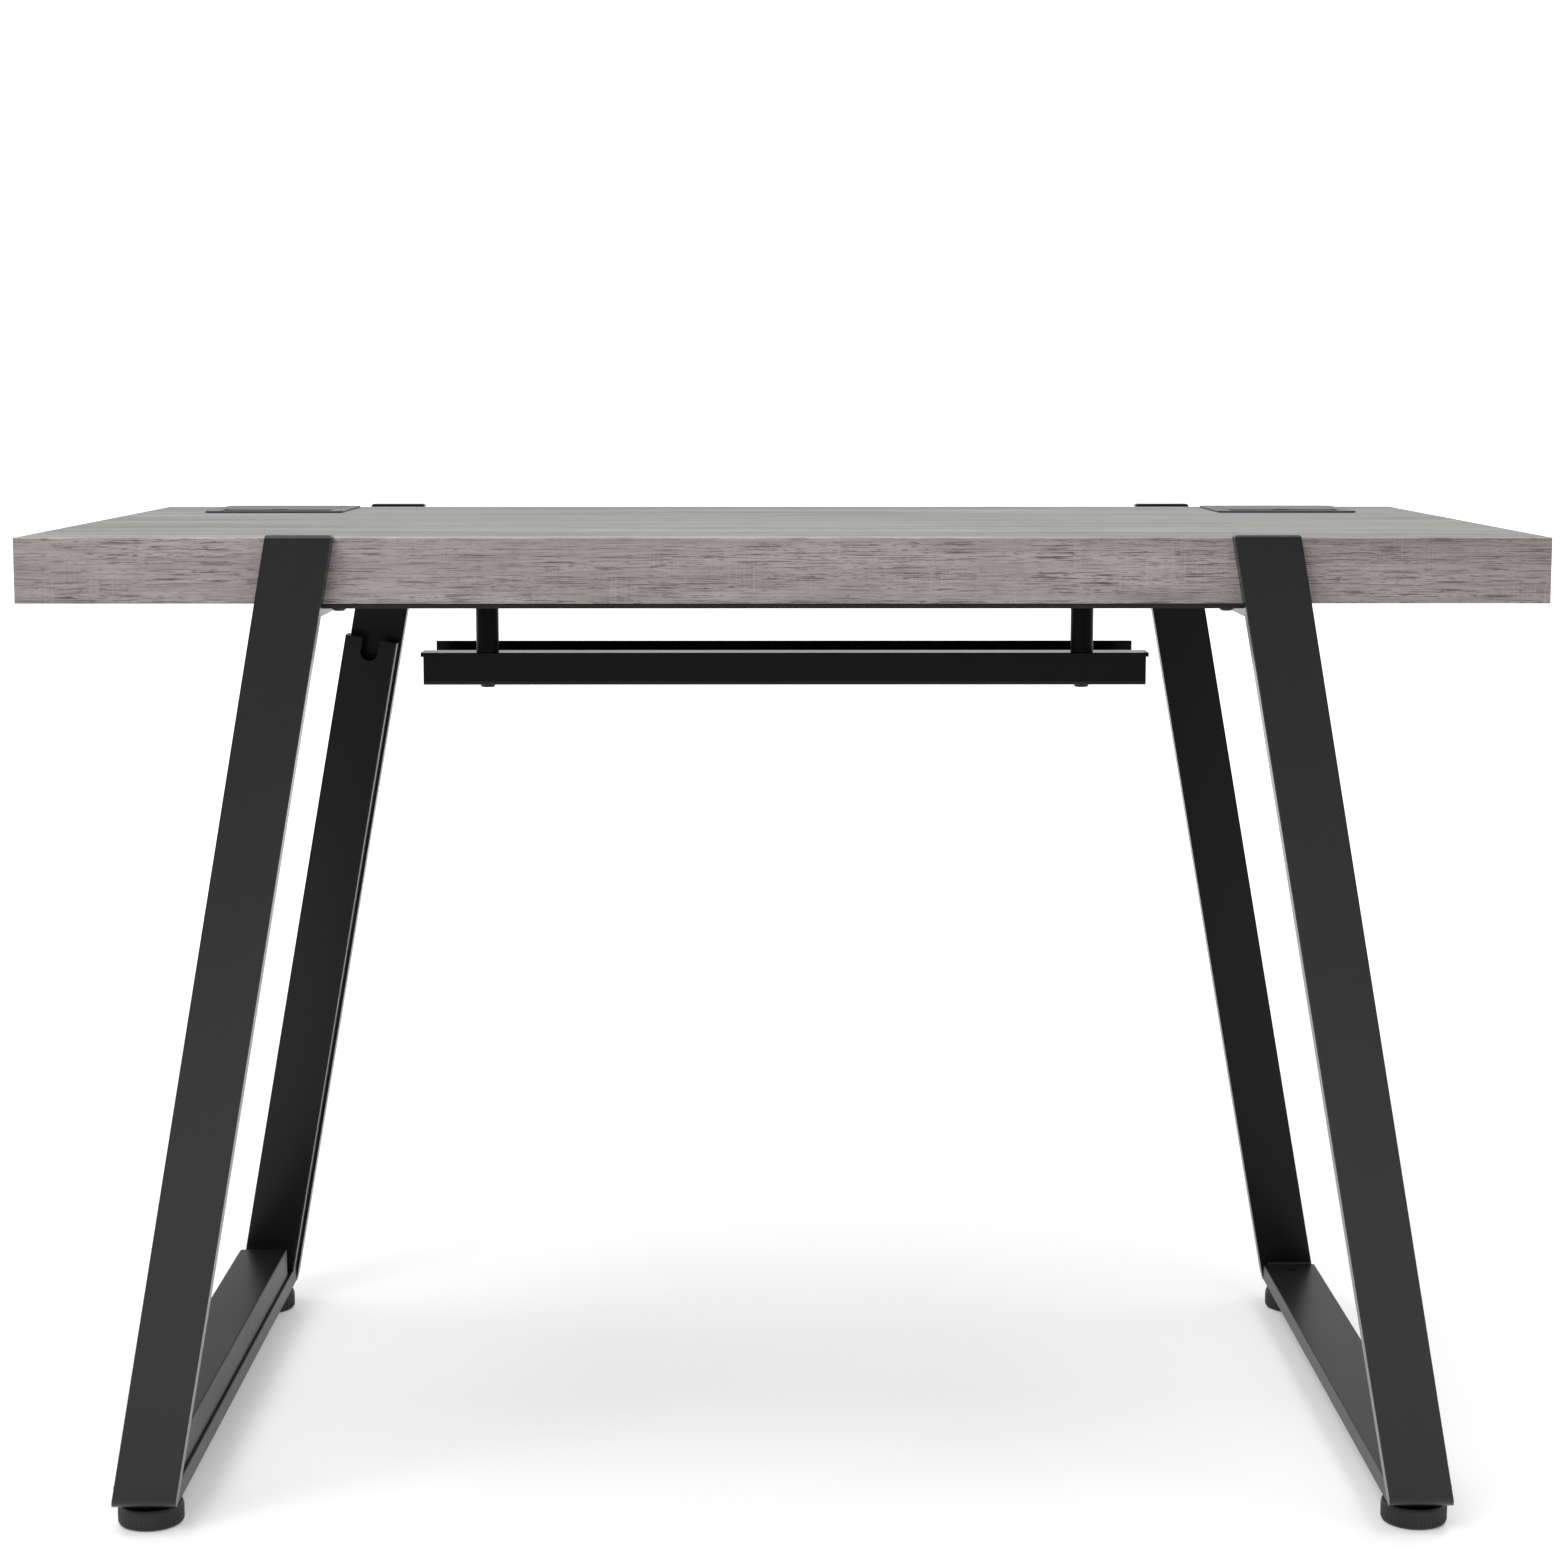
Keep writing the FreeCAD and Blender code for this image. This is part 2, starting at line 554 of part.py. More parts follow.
saddles = []
saddle_in = shell_in + COVER_WALL + CLIP_GAP
saddle_out = shell_out - COVER_WALL - CLIP_GAP
for y in runner_clips:
    y0 = y - CLIP_HEIGHT / 2
    y1 = y + CLIP_HEIGHT / 2
    saddle = box(-saddle_out, -saddle_in, y0, y1, runner_top, runner_top + CLIP_REACH)
    saddle = saddle.cut(box(-saddle_out + CLIP_SHEET, -saddle_in - CLIP_SHEET, y0 - 1,
                            y1 + 1, runner_top + CLIP_SHEET, shell_top))
    saddle = saddle.cut(post(CLIP_SCREW[0] + HOLE_GAP, -glide_x, y, 0, shell_top))
    saddles.append(saddle)
    seat = runner_top + CLIP_SHEET
    head = post(CLIP_SCREW[1], -glide_x, y, seat, seat + CLIP_SCREW[2])
    screws.append(head.fuse(post(CLIP_SCREW[0], -glide_x, y, runner_top - CLIP_SCREW[3],
                                 seat)))
save(Part.makeCompound(saddles), "runner_cover_clips")
save(Part.makeCompound(screws), "clip_screws")
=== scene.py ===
"""Looks for the desk with a hung cable tray: materials, small detail pieces, floor, lights, camera."""

import json
import math
import random

import bmesh
import bpy
from mathutils import Matrix, Vector


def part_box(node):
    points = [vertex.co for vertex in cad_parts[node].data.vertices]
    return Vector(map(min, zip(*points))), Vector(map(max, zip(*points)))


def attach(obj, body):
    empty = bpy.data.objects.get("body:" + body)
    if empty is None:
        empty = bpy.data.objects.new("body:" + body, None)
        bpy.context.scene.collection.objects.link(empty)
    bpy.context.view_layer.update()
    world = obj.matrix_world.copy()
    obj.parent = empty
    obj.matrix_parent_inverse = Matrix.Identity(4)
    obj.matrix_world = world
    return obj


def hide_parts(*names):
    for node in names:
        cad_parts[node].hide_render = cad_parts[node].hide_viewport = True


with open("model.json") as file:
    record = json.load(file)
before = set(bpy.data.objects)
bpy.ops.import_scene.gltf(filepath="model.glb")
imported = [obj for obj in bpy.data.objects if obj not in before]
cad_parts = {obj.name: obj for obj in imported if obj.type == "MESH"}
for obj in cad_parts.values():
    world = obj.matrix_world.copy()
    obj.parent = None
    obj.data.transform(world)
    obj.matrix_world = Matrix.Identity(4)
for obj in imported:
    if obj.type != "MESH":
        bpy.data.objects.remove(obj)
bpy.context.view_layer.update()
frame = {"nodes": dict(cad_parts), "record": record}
nodes = frame["nodes"]
scene = bpy.context.scene
scene.view_settings.view_transform = "Standard"

# ---------------------------------------------------------------- values
# Lengths in metres and angles in radians; the sensor's width in millimetres, the focal length and
# the frame's size in picture elements.
FRONT_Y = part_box("edge_band_front")[0].y
RIM_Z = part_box("edge_band_front")[1].z

SENSOR_WIDTH = 36.0
FOCAL_PX, FRAME_PX = 3126.3, 1561.0
CAMERA_AT = (-0.0105, FRONT_Y - 2.2780, 0.8574)
YAW, PITCH = 0.0036, 0.1247

PAD_STEPS, RIB_DEPTH, PAD_WALL = 192, 0.0006, 0.011
STEM_STEPS, STEM_RADIUS, THREAD_DEPTH, THREAD_PITCH = 24, 0.00398, 0.00055, 0.00125
STEM_START, NUT_HEIGHT = 0.0006, 0.0011
NUT_SHARE = 2.001  # the nut's box width over its half width, a hair inside the box
BRISTLES, BRISTLE_RADIUS, BRISTLE_SEED = 620, 0.00013, 11
BRISTLE_END, BRISTLE_ROOT, BRISTLE_BAND = 0.0012, 0.0021, 0.0011
TIP_INSET, TIP_SHORT, TIP_SPREAD = 0.0004, 0.0005, 0.0006
TIP_SAG, TIP_SHARE = 0.0003, 0.5
BRUSH_BACK, BRUSH_WEB = 0.004, 0.0022
BEAD_STEP, BEAD_POINTS = 0.0004, 6
RUNNER_BEAD, RUNNER_BEAD_END = 0.0022, 0.003
CROSSBAR_BEAD, CROSSBAR_BEAD_END = 0.0020, 0.001
SHARP_ANGLE = math.radians(38.0)

FLOOR_HALF = 30.0
NEAR_SHARE, FLOOR_GLOW, FAR_GLOW = 0.7, 0.30, 0.95
SKY_FRONT, SKY_REAR = 0.10, 1.05

# ---------------------------------------------------------------- camera

forward = Vector((math.sin(YAW) * math.cos(PITCH), math.cos(YAW) * math.cos(PITCH),
                  -math.sin(PITCH)))
level = Vector((math.cos(YAW), -math.sin(YAW), 0.0))
down = forward.cross(level)
cam_data = bpy.data.cameras.new("camera")
cam_data.sensor_width = SENSOR_WIDTH
cam_data.lens = FOCAL_PX * SENSOR_WIDTH / FRAME_PX
camera = bpy.data.objects.new("camera", cam_data)
turn = Matrix((level, -down, -forward)).transposed().to_4x4()
camera.matrix_world = Matrix.Translation(CAMERA_AT) @ turn
scene.collection.objects.link(camera)
scene.camera = camera


# ---------------------------------------------------------------- node helpers
class Graph:
    """A material's node tree, with short calls for the nodes used here."""

    def __init__(self, name):
        self.material = bpy.data.materials.new(name)
        self.material.use_nodes = True
        self.tree = self.material.node_tree
        self.shader = self.tree.nodes["Principled BSDF"]

    def add(self, kind, **values):
        node = self.tree.nodes.new(kind)
        for key, value in values.items():
            setattr(node, key, value)
        return node

    def link(self, a, b):
        self.tree.links.new(a, b)

    def coords(self, scale):
        """Object coordinates, scaled differently along X, Y and Z."""
        tex = self.add("ShaderNodeTexCoord")
        mapping = self.add("ShaderNodeMapping")
        mapping.inputs["Scale"].default_value = scale
        self.link(tex.outputs["Object"], mapping.inputs["Vector"])
        return mapping.outputs["Vector"]

    def noise(self, scale, detail=3.0, rough=0.5, distortion=0.0):
        tex = self.add("ShaderNodeTexNoise")
        tex.inputs["Scale"].default_value = 1.0
        tex.inputs["Detail"].default_value = detail
        tex.inputs["Roughness"].default_value = rough
        tex.inputs["Distortion"].default_value = distortion
        self.link(self.coords(scale), tex.inputs["Vector"])
        return tex.outputs["Fac"]

    def ramp(self, value, stops):
        node = self.add("ShaderNodeValToRGB")
        ends = node.color_ramp.elements
        while len(ends) < len(stops):
            ends.new(0.5)
        for slot, (place, colour) in zip(ends, stops):
            slot.position = place
            if not isinstance(colour, (tuple, list)):
                colour = (colour, colour, colour)
            slot.color = (*colour, 1.0)
        self.link(value, node.inputs["Fac"])
        return node.outputs["Color"]

    def math(self, how, a, b):
        node = self.add("ShaderNodeMath", operation=how)
        for socket, value in zip(node.inputs, (a, b)):
            if isinstance(value, (int, float)):
                socket.default_value = value
            else:
                self.link(value, socket)
        return node.outputs["Value"]

    def mix(self, factor, a, b):
        node = self.add("ShaderNodeMix", data_type="RGBA", blend_type="MIX")
        for socket, value in ((node.inputs[0], factor), (node.inputs[6], a), (node.inputs[7], b)):
            if isinstance(value, (int, float)):
                socket.default_value = value
            elif isinstance(value, (tuple, list)):
                socket.default_value = (*value, 1.0)
            else:
                self.link(value, socket)
        return node.outputs[2]

    def bump(self, height, strength, distance):
        node = self.add("ShaderNodeBump")
        node.inputs["Strength"].default_value = strength
        node.inputs["Distance"].default_value = distance
        self.link(height, node.inputs["Height"])
        self.link(node.outputs["Normal"], self.shader.inputs["Normal"])

    def finish(self, colour, rough, metallic=0.0, specular=0.5):
        self.link(colour, self.shader.inputs["Base Color"])
        if isinstance(rough, (int, float)):
            self.shader.inputs["Roughness"].default_value = rough
        else:
            self.link(rough, self.shader.inputs["Roughness"])
        self.shader.inputs["Metallic"].default_value = metallic
        self.shader.inputs["Specular IOR Level"].default_value = specular
        return self.material


def grain(along, length, width):
    """Texture scale with the given number of cells per metre along and across the grain."""
    scale = [width, width, width]
    scale["XYZ".index(along)] = length
    return tuple(scale)


def oak(name, along, across, dark, pale, pore, saw, rough, streaks, rim=None):
    """Grey limed oak laminate: bands and pores along the grain, saw marks across it, a pale painted
    highlight along the top rim.
    """
    g = Graph(name)
    broad = g.noise(grain(along, streaks, 46.0), 4.0, 0.62, 0.1)
    fine = g.noise(grain(along, 5.0 * streaks, 420.0), 3.0, 0.65)
    tone = g.math("ADD", g.math("MULTIPLY", broad, 0.6), g.math("MULTIPLY", fine, 0.4))
    middle = [(a + b) / 2 for a, b in zip(dark, pale)]
    colour = g.ramp(tone, [(0.36, dark), (0.5, middle), (0.64, pale)])
    blush = g.noise(grain(along, 9.0, 60.0), 2.0, 0.5)
    colour = g.mix(g.ramp(blush, [(0.45, 0.0), (0.75, 0.55)]), colour,
                   [middle[0] * 1.06, middle[1] * 0.97, middle[2] * 0.99])
    long_pores = g.noise(grain(along, 28.0, 1120.0), 3.0, 0.6)
    short_pores = g.noise(grain(along, 120.0, 1280.0), 2.0, 0.5)
    clumps = g.noise(grain(along, 16.0, 60.0), 2.0, 0.5)
    rows = g.noise(grain(along, 2.0, 260.0), 1.0, 0.5)
    where = g.math("MULTIPLY", g.ramp(clumps, [(0.36, 0.60), (0.58, 1.0)]),
                   g.ramp(rows, [(0.40, 0.50), (0.52, 1.0)]))
    marks = g.math("MAXIMUM", g.ramp(long_pores, [(0.540, 0.0), (0.575, 1.0)]),
                   g.math("MULTIPLY", g.ramp(short_pores, [(0.575, 0.0), (0.62, 1.0)]), 0.8))
    marks = g.math("MULTIPLY", marks, where)
    colour = g.mix(g.math("MULTIPLY", marks, pore), colour, [c * 0.36 for c in dark])
    if saw:
        cuts = g.noise(grain(across, 12.0, 760.0), 1.0, 0.5)
        patch = g.noise((22.0, 22.0, 45.0), 2.0, 0.5)
        lines = g.math("MULTIPLY", g.ramp(cuts, [(0.57, 0.0), (0.66, 1.0)]),
                       g.ramp(patch, [(0.48, 0.0), (0.62, 1.0)]))
        colour = g.mix(g.math("MULTIPLY", lines, saw), colour, [min(1.0, c * 1.2) for c in pale])
    # Painted highlight: a pale band just under the top edge stands in for light caught by the rounded
    # arris.
    if rim:
        parts = g.add("ShaderNodeSeparateXYZ")
        g.link(g.coords((1.0, 1.0, 1.0)), parts.inputs["Vector"])
        rim_highlight = g.add("ShaderNodeMapRange")
        for key, value in (("From Min", rim - 0.0010), ("From Max", rim - 0.0004)):
            rim_highlight.inputs[key].default_value = value
        g.link(parts.outputs["Z"], rim_highlight.inputs["Value"])
        colour = g.mix(g.math("MULTIPLY", rim_highlight.outputs["Result"], 0.10), colour, RIM_HIGHLIGHT)
    g.bump(g.math("SUBTRACT", g.math("MULTIPLY", fine, 0.4), marks), 0.3, 0.0002)
    return g.finish(colour, g.ramp(fine, [(0.3, rough - 0.05), (0.7, rough + 0.05)]), specular=0.35)


def powder(name, base, rough=0.26, specular=0.32):
    """Smooth satin powder coat with a faint orange peel and slight unevenness in its sheen."""
    g = Graph(name)
    peel = g.noise((700.0, 700.0, 700.0), 2.0, 0.5)
    cloud = g.noise((5.0, 5.0, 5.0), 3.0, 0.5)
    colour = g.mix(cloud, [c * 0.85 for c in base], [c * 1.15 for c in base])
    g.bump(peel, 0.06, 0.00008)
    uneven = g.math("MULTIPLY", g.math("SUBTRACT", cloud, 0.5), 0.12)
    return g.finish(colour, g.math("ADD", uneven, rough), specular=specular)


def plastic(name, base, rough_low, rough_high):
    """Fine-textured moulded plastic, a little worn in places."""
    g = Graph(name)
    texture = g.noise((1400.0, 1400.0, 1400.0), 2.0, 0.6)
    wear = g.noise((25.0, 25.0, 25.0), 3.0, 0.5)
    colour = g.mix(wear, [c * 0.85 for c in base], [c * 1.2 for c in base])
    g.bump(texture, 0.2, 0.0001)
    return g.finish(colour, g.ramp(wear, [(0.3, rough_low), (0.7, rough_high)]), specular=0.45)


def steel(name, base, rough):
    """Bare or zinc-plated steel with fine drawn lines."""
    g = Graph(name)
    lines = g.noise((60.0, 1500.0, 60.0), 3.0, 0.6)
    spots = g.noise((180.0, 180.0, 180.0), 2.0, 0.5)
    colour = g.mix(spots, [c * 0.82 for c in base], base)
    g.bump(lines, 0.1, 0.0001)
    return g.finish(colour, g.ramp(lines, [(0.3, rough - 0.06), (0.7, rough + 0.08)]), metallic=1.0)


def board(name):
    """Pressed particle board, seen only where it is cut."""
    g = Graph(name)
    chips = g.add("ShaderNodeTexVoronoi")
    chips.inputs["Scale"].default_value = 1.0
    g.link(g.coords((420.0, 420.0, 900.0)), chips.inputs["Vector"])
    colour = g.ramp(chips.outputs["Distance"], [(0.1, (0.42, 0.31, 0.19)), (0.8, (0.22, 0.15, 0.09))])
    g.bump(chips.outputs["Distance"], 0.4, 0.0003)
    return g.finish(colour, 0.8)


# ---------------------------------------------------------------- materials
WARM_DARK, WARM_PALE = (0.205, 0.181, 0.173), (0.382, 0.347, 0.335)
# Colour of the painted highlight along the top rim of the edge bands.
RIM_HIGHLIGHT = (0.62, 0.60, 0.58)
COOL_DARK, COOL_PALE = (0.092, 0.093, 0.088), (0.278, 0.281, 0.272)
looks = {
    "laminate_top": oak("oak_top", "X", "Y", COOL_DARK, COOL_PALE, 0.34, 0.0, 0.50, 4.0),
    "laminate_edge": oak("oak_edge", "X", "Z", WARM_DARK, WARM_PALE, 0.95, 0.20, 0.55, 2.5, RIM_Z),
    "core_board": board("particle_board"),
    "backer_black": plastic("backer", (0.012, 0.012, 0.012), 0.5, 0.65),
    "pad_plastic": plastic("glide_plastic", (0.012, 0.012, 0.013), 0.45, 0.6),
    "zinc_steel": steel("zinc_steel", (0.55, 0.55, 0.53), 0.35),
    "black_steel_fastener": powder("black_oxide", (0.010, 0.010, 0.011), 0.30),
    "spring_steel": steel("spring_steel", (0.30, 0.30, 0.31), 0.30),
    "brush_nylon": plastic("brush_nylon", (0.008, 0.008, 0.008), 0.5, 0.7),
    "port_metal": powder("port_coat", (0.012, 0.012, 0.013), 0.32),
    "cover_plastic": powder("cover_plastic", (0.0098, 0.0098, 0.0101), 0.22, 0.18),
    "black_powder_coat": powder("black_coat", (0.0175, 0.0175, 0.0179), 0.24, 0.26),
}
# Darker copy of the black coat for the rear blades: painted shade, standing in for the shadow of the
# top.
rear_shaded_coat = powder("rear_shaded_coat", (0.0088, 0.0088, 0.0090), 0.26, 0.16)
runner_coat = powder("runner_coat", (0.0150, 0.0150, 0.0155), 0.36, 0.16)
channel_plastic = powder("channel_plastic", (0.0105, 0.0105, 0.0110), 0.36, 0.12)
# Darker copies of the black coat for the tray and its posts: painted shade under the top.
tray_shaded_coat = powder("tray_shaded_coat", (0.0062, 0.0062, 0.0064), 0.17, 0.15)
post_shaded_coat = powder("post_shaded_coat", (0.0028, 0.0028, 0.0030), 0.30, 0.08)
oak_ends = oak("oak_edge_ends", "Y", "Z", WARM_DARK, WARM_PALE, 0.95, 0.20, 0.55, 2.5, RIM_Z)
slot_of = {s["node"]: s["material_slot"] for s in frame["record"]["subparts"]}
for name, node in nodes.items():
    look = looks[slot_of[name]]
    if name in ("edge_band_left", "edge_band_right"):
        look = oak_ends
    # The tray and its posts take darker copies of the coat: painted shade.
    if name in ("tray_trough", "tray_lip"):
        look = tray_shaded_coat
    if name == "tray_posts":
        look = post_shaded_coat
    # The rear blades take the darker copy of the coat: painted shade.
    if name in ("blade_rear_left", "blade_rear_right"):
        look = rear_shaded_coat
    if name in ("runner_left", "runner_right"):
        look = runner_coat
    if name == "runner_cover":
        look = channel_plastic
    node.data.materials.clear()
    node.data.materials.append(look)


# ---------------------------------------------------------------- small mesh helpers
def make(name, bm, look, body):
    """Object from a bmesh, shaded smooth with sharp corners, riding on a body."""
    mesh = bpy.data.meshes.new(name)
    bmesh.ops.recalc_face_normals(bm, faces=bm.faces)
    bm.to_mesh(mesh)
    bm.free()
    mesh.materials.append(look)
    mesh.shade_smooth()
    mesh.set_sharp_from_angle(angle=SHARP_ANGLE)
    obj = bpy.data.objects.new(name, mesh)
    scene.collection.objects.link(obj)
    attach(obj, body)
    return obj


def skin(bm, rings):
    """Faces between neighbouring closed rings of vertices, and a cap on the first and last ring."""
    for low, high in zip(rings, rings[1:]):
        for k in range(len(low)):
            j = (k + 1) % len(low)
            bm.faces.new((low[k], low[j], high[j], high[k]))
    bm.faces.new(rings[0])
    bm.faces.new(rings[-1])


def prism(bm, low, high):
    """Solid between two matching outlines."""
    a = [bm.verts.new(p) for p in low]
    b = [bm.verts.new(p) for p in high]
    skin(bm, [a, b])


def ribbed_pad(bm, centre, radius, height, bore, floor):
    """Round glide pad with a knurled side and a socket for its stem."""
    profile = [(radius - 0.0030, 0.0, 0), (radius - 0.0012, 0.0008, 0), (radius - 0.0002, 0.0026, 0),
               (radius, 0.0032, 1), (radius, height - 0.0034, 1), (radius - 0.0002, height - 0.0028, 0),
               (radius - 0.0010, height - 0.0007, 0), (radius - 0.0024, height, 0),
               (bore + 0.0008, height, 0), (bore, height - 0.0008, 0), (bore, floor, 0)]
    rings = []
    for r, z, ribbed in profile:
        ring = []
        for k in range(PAD_STEPS):
            turn = 2 * math.pi * k / PAD_STEPS
            reach = r - (RIB_DEPTH if ribbed and k % 4 < 2 else 0.0)
            ring.append(bm.verts.new((centre.x + reach * math.cos(turn),
                                      centre.y + reach * math.sin(turn), z)))
        rings.append(ring)
    skin(bm, rings)


def threaded_stem(bm, centre, z0, z1, radius, pitch):
    """Rod with a helical thread, closed at both ends."""
    rows = int((z1 - z0) / pitch * 8)
    rings = []
    for i in range(rows + 1):
        z = z0 + (z1 - z0) * i / rows
        ring = []
        for k in range(STEM_STEPS):
            turn = 2 * math.pi * k / STEM_STEPS
            phase = ((z - z0) / pitch - k / STEM_STEPS) % 1.0
            depth = THREAD_DEPTH * abs(2 * phase - 1)
            if i in (0, rows):
                depth = 2 * THREAD_DEPTH
            ring.append(bm.verts.new((centre.x + (radius - depth) * math.cos(turn),
                                      centre.y + (radius - depth) * math.sin(turn), z)))
        rings.append(ring)
    skin(bm, rings)


def bead(bm, start, end, side_a, side_b, size):
    """Rippled weld bead filling the corner between two faces, from start to end."""
    start, end = Vector(start), Vector(end)
    side_a, side_b = Vector(side_a), Vector(side_b)
    steps = int((end - start).length / BEAD_STEP)
    rings = []
    for i in range(steps + 1):
        at = start.lerp(end, i / steps)
        swell = 1.0 + 0.10 * math.sin(i * 0.9) + 0.05 * math.sin(i * 0.37)
        taper = min(1.0, (min(i, steps - i) + 1) / 5.0)
        reach = size * swell * taper
        ring = [bm.verts.new(at)]
        for k in range(BEAD_POINTS):
            turn = math.pi / 2 * k / (BEAD_POINTS - 1)
            ring.append(bm.verts.new(at + side_a * reach * math.cos(turn)
                                     + side_b * reach * math.sin(turn)))
        rings.append(ring)
    skin(bm, rings)


# ---------------------------------------------------------------- detail pieces
for end in ("front", "rear"):
    for side in ("left", "right"):
        body = f"glide_{end}_{side}"
        low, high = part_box(f"glide_pad_{end}_{side}")
        centre = (low + high) / 2
        radius = (high.x - low.x) / 2
        stem_low, stem_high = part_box(f"glide_stem_{end}_{side}")
        bm = bmesh.new()
        ribbed_pad(bm, centre, radius, high.z, radius - PAD_WALL, stem_low.z)
        pad = make(f"ribbed_pad_{end}_{side}", bm, looks["pad_plastic"], body)
        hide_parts(f"glide_pad_{end}_{side}")
        bm = bmesh.new()
        threaded_stem(bm, centre, stem_low.z + STEM_START, stem_high.z, STEM_RADIUS, THREAD_PITCH)
        flat = (stem_high.x - stem_low.x) / NUT_SHARE
        corners = [math.radians(60 * k + 30) for k in range(6)]
        nut = [(centre.x + flat * math.cos(turn) / math.cos(math.radians(30)),
                centre.y + flat * math.sin(turn) / math.cos(math.radians(30))) for turn in corners]
        prism(bm, [(x, y, stem_low.z) for x, y in nut],
              [(x, y, stem_low.z + NUT_HEIGHT) for x, y in nut])
        stem = make(f"threaded_stem_{end}_{side}", bm, looks["zinc_steel"], body)
        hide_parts(f"glide_stem_{end}_{side}")

rng = random.Random(BRISTLE_SEED)
for side in ("left", "right"):
    low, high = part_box(f"port_brush_{side}")
    bm = bmesh.new()
    y_lips, y_web = low.y + BRUSH_BACK, low.y + BRUSH_WEB
    channel = [(low.y, low.z), (y_lips, low.z), (y_lips, low.z + 0.0024), (y_web, low.z + 0.0030),
               (y_web, high.z - 0.0020), (y_lips, high.z - 0.0014), (y_lips, high.z),
               (low.y, high.z)]
    prism(bm, [(low.x, y, z) for y, z in channel], [(high.x, y, z) for y, z in channel])
    for i in range(BRISTLES):
        x = low.x + BRISTLE_END + (high.x - low.x - 2 * BRISTLE_END) * (i + 0.5) / BRISTLES
        z = (low.z + high.z) / 2 + rng.uniform(-BRISTLE_BAND, BRISTLE_BAND)
        tip_x = min(high.x - TIP_INSET, max(low.x + TIP_INSET, x + rng.gauss(0.0, TIP_SPREAD)))
        tip_y = high.y - 0.0001 - abs(rng.gauss(0.0, TIP_SHORT))
        tip_z = z + rng.gauss(0.0, TIP_SAG) - TIP_SAG
        across = [(BRISTLE_RADIUS * math.cos(t), BRISTLE_RADIUS * math.sin(t)) for t in (0.5, 2.6, 4.7)]
        root = [(x + dx, low.y + BRISTLE_ROOT, z + dz) for dx, dz in across]
        tip = [(tip_x + TIP_SHARE * dx, tip_y, tip_z + TIP_SHARE * dz) for dx, dz in across]
        prism(bm, root, tip)
    brush = make(f"port_bristles_{side}", bm, looks["brush_nylon"], "desk")
    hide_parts(f"port_brush_{side}")

for side in ("left", "right"):
    run_low, run_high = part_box(f"runner_{side}")
    bar_low, bar_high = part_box(f"crossbar_{side}")
    for end, face in (("front", run_low.y), ("rear", run_high.y)):
        inward = 1.0 if end == "front" else -1.0
        bm = bmesh.new()
        bead(bm, (run_low.x + RUNNER_BEAD_END, face, run_high.z),
             (run_high.x - RUNNER_BEAD_END, face, run_high.z),
             (0.0, inward, 0.0), (0.0, 0.0, 1.0), RUNNER_BEAD)
        bead(bm, (bar_low.x + CROSSBAR_BEAD_END, face, bar_low.z),
             (bar_high.x - CROSSBAR_BEAD_END, face, bar_low.z),
             (0.0, inward, 0.0), (0.0, 0.0, -1.0), CROSSBAR_BEAD)
        make(f"weld_beads_{end}_{side}", bm, looks["black_powder_coat"], "desk")


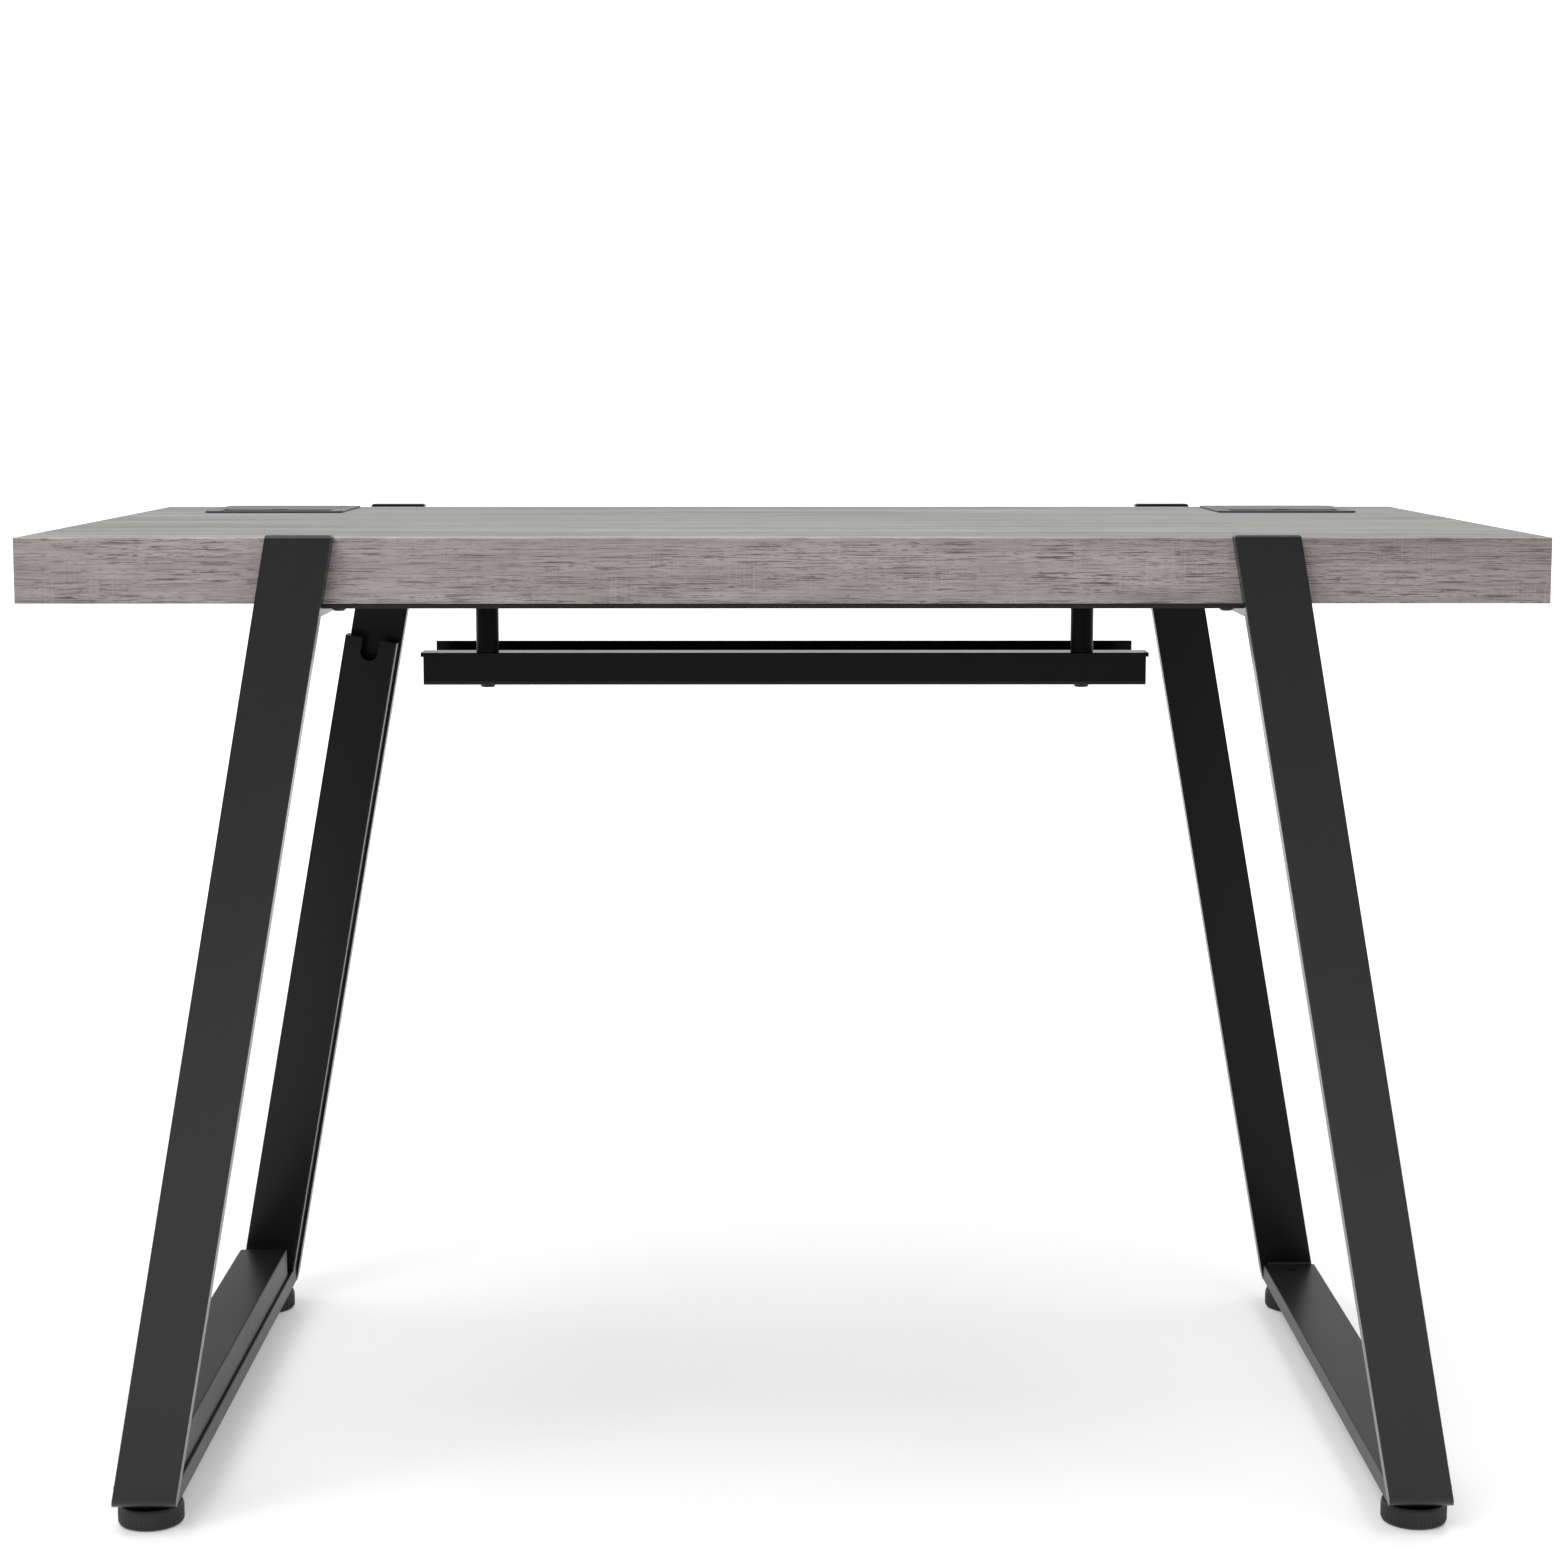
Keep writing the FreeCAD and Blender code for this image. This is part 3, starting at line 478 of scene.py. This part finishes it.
# ---------------------------------------------------------------- floor, light, background
def stage_floor():
    """White paper floor with a faint glow, strongest far behind the desk."""
    g = Graph("floor_paper")
    tex = g.add("ShaderNodeTexCoord")
    parts = g.add("ShaderNodeSeparateXYZ")
    g.link(tex.outputs["Object"], parts.inputs["Vector"])
    reach = g.add("ShaderNodeMapRange", interpolation_type="SMOOTHSTEP")
    far = g.add("ShaderNodeMapRange", interpolation_type="SMOOTHSTEP")
    for key, near_side, far_side in (("From Min", -4.2, 1.0), ("From Max", -1.2, 3.5),
                                     ("To Min", NEAR_SHARE, FLOOR_GLOW), ("To Max", 1.0, FAR_GLOW)):
        reach.inputs[key].default_value = near_side
        far.inputs[key].default_value = far_side
    g.link(parts.outputs["Y"], reach.inputs["Value"])
    g.link(parts.outputs["Y"], far.inputs["Value"])
    soft = g.noise((1.3, 1.3, 1.3), 2.0, 0.5)
    paper = g.mix(soft, (0.80, 0.80, 0.80), (0.84, 0.84, 0.84))
    g.link(g.math("MULTIPLY", reach.outputs["Result"], far.outputs["Result"]),
           g.shader.inputs["Emission Strength"])
    g.shader.inputs["Emission Color"].default_value = (1.0, 1.0, 1.0, 1.0)
    g.finish(paper, 0.6, specular=0.2)
    bm = bmesh.new()
    bmesh.ops.create_grid(bm, x_segments=8, y_segments=8, size=FLOOR_HALF)
    mesh = bpy.data.meshes.new("floor")
    bm.to_mesh(mesh)
    bm.free()
    mesh.materials.append(g.material)
    obj = bpy.data.objects.new("floor", mesh)
    scene.collection.objects.link(obj)


def soft_light(name, at, aim, size, power):
    data = bpy.data.lights.new(name, "AREA")
    data.shape = "RECTANGLE"
    data.size, data.size_y = size
    data.energy = power
    lamp = bpy.data.objects.new(name, data)
    lamp.location = at
    lamp.rotation_euler = (Vector(aim) - Vector(at)).to_track_quat("-Z", "Y").to_euler()
    scene.collection.objects.link(lamp)


def studio_sky():
    """Sky that lights the desk dimly from the front and brightly from behind, and looks white."""
    world = bpy.data.worlds.new("studio")
    world.use_nodes = True
    scene.world = world
    tree = world.node_tree
    tree.nodes.clear()
    coord = tree.nodes.new("ShaderNodeTexCoord")
    split = tree.nodes.new("ShaderNodeSeparateXYZ")
    ramp = tree.nodes.new("ShaderNodeMapRange")
    ramp.interpolation_type = "SMOOTHSTEP"
    for key, value in (("From Min", -0.35), ("From Max", 0.75), ("To Min", SKY_FRONT),
                       ("To Max", SKY_REAR)):
        ramp.inputs[key].default_value = value
    lit = tree.nodes.new("ShaderNodeBackground")
    seen = tree.nodes.new("ShaderNodeBackground")
    seen.inputs["Strength"].default_value = 1.0
    seen.inputs["Color"].default_value = (1.0, 1.0, 1.0, 1.0)
    path = tree.nodes.new("ShaderNodeLightPath")
    mix = tree.nodes.new("ShaderNodeMixShader")
    out = tree.nodes.new("ShaderNodeOutputWorld")
    tree.links.new(coord.outputs["Generated"], split.inputs["Vector"])
    tree.links.new(split.outputs["Y"], ramp.inputs["Value"])
    tree.links.new(ramp.outputs["Result"], lit.inputs["Strength"])
    tree.links.new(path.outputs["Is Camera Ray"], mix.inputs[0])
    tree.links.new(lit.outputs["Background"], mix.inputs[1])
    tree.links.new(seen.outputs["Background"], mix.inputs[2])
    tree.links.new(mix.outputs["Shader"], out.inputs["Surface"])


stage_floor()
studio_sky()
soft_light("overhead", (0.0, -0.3, 3.2), (0.0, 0.1, 0.0), (4.0, 3.4), 105.0)
soft_light("front_fill", (-1.2, -2.7, 3.2), (0.0, -0.2, 0.6), (2.6, 1.6), 70.0)
